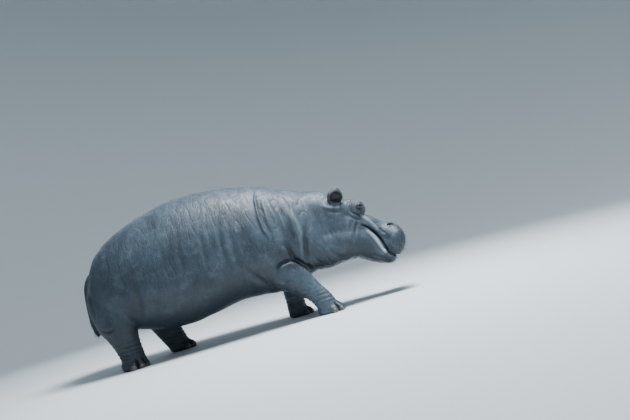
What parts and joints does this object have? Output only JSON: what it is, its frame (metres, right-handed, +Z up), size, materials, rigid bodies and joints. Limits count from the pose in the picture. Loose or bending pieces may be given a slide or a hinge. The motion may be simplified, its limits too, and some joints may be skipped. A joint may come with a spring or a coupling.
{
  "type": "hippopotamus",
  "caption": "Adult hippopotamus walking on all fours: barrel body, thick folded neck, long deep head with broad muzzle, short legs, toes with nails, small upright ears, short hanging tail.",
  "frame": {"origin": "on the floor, under the middle of the whole animal", "axes": "+X towards the muzzle, +Y to the animal's left, +Z up"},
  "size_m": [3.1512, 1.0038, 1.453],
  "materials": {
    "hide": "bare thick slate-grey hide, finely creased and speckled, damp sheen",
    "ear_skin": "thin bare ear skin, grey going to pinkish brown inside",
    "nail_horn": "dull grey-brown horn, worn at the edge",
    "eye_surface": "wet dark brown eye, polished",
    "bristle": "stiff dark brown bristles"
  },
  "bodies": {
    "root": {"ear_left": "ear_skin", "ear_right": "ear_skin", "eye_left": "eye_surface", "eye_right": "eye_surface", "foot_back_left": "hide", "foot_back_right": "hide", "foot_front_left": "hide", "foot_front_right": "hide", "head": "hide", "leg_back_left": "hide", "leg_back_right": "hide", "leg_front_left": "hide", "leg_front_right": "hide", "lower_jaw": "hide", "nail_back_left_1": "nail_horn", "nail_back_left_2": "nail_horn", "nail_back_left_3": "nail_horn", "nail_back_left_4": "nail_horn", "nail_back_right_1": "nail_horn", "nail_back_right_2": "nail_horn", "nail_back_right_3": "nail_horn", "nail_back_right_4": "nail_horn", "nail_front_left_1": "nail_horn", "nail_front_left_2": "nail_horn", "nail_front_left_3": "nail_horn", "nail_front_left_4": "nail_horn", "nail_front_right_1": "nail_horn", "nail_front_right_2": "nail_horn", "nail_front_right_3": "nail_horn", "nail_front_right_4": "nail_horn", "neck": "hide", "tail": "hide", "trunk": "hide"}
  },
  "joints": []
}
